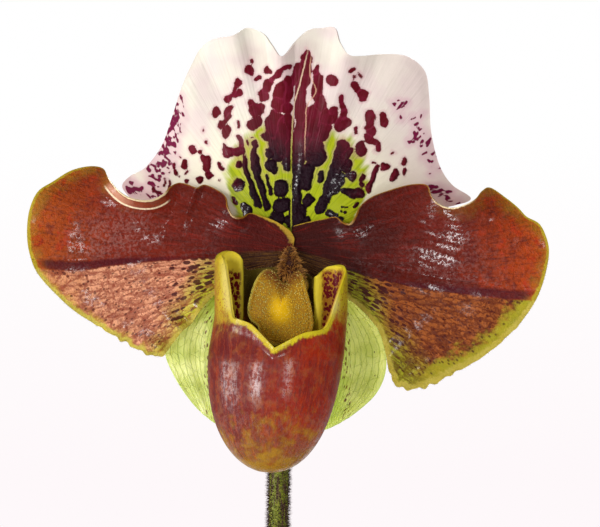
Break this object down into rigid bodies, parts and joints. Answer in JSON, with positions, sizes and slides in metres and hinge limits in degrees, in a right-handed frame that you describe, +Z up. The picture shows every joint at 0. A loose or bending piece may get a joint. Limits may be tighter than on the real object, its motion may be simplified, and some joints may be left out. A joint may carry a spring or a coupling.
{
  "type": "potted paphiopedilum orchid",
  "caption": "Potted slipper orchid with a single broad flower of spotted sepal, waved petals and pouch on a hairy scape, over a fan of strap leaves in a clay pot of bark.",
  "frame": {"origin": "middle of the pot's foot, on the surface it stands on", "axes": "+Z up, the flower looks towards -Y, +X to the flower's right as seen from the front"},
  "size_m": [0.2154, 0.12, 0.3993],
  "materials": {
    "clay": "matt fired clay",
    "bark": "rough bark chips",
    "root": "fibrous, hairy",
    "leaf": "semi-gloss leaf",
    "stem": "hairy stem",
    "bract": "thin green sheath",
    "dorsal_sepal": "white with maroon spots, satin",
    "synsepal": "pale green with darker veins, satin",
    "petal": "glossy red-brown",
    "pouch": "glossy red-brown with a yellow rim",
    "staminode": "granular golden yellow",
    "column": "hairy reddish brown",
    "anther": "waxy yellow"
  },
  "bodies": {
    "root": {"pot": "clay", "potting_bark": "bark", "crown": "root", "leaf_1": "leaf", "leaf_2": "leaf", "leaf_3": "leaf", "leaf_4": "leaf", "leaf_5": "leaf", "leaf_6": "leaf", "young_leaf_1": "leaf", "young_leaf_2": "leaf", "young_leaf_3": "leaf", "young_leaf_4": "leaf", "scape": "stem", "ovary": "stem", "bract": "bract", "dorsal_sepal": "dorsal_sepal", "synsepal": "synsepal", "petal_left": "petal", "petal_right": "petal", "pouch": "pouch", "staminode": "staminode", "column": "column", "anther_left": "anther", "anther_right": "anther"}
  },
  "joints": []
}
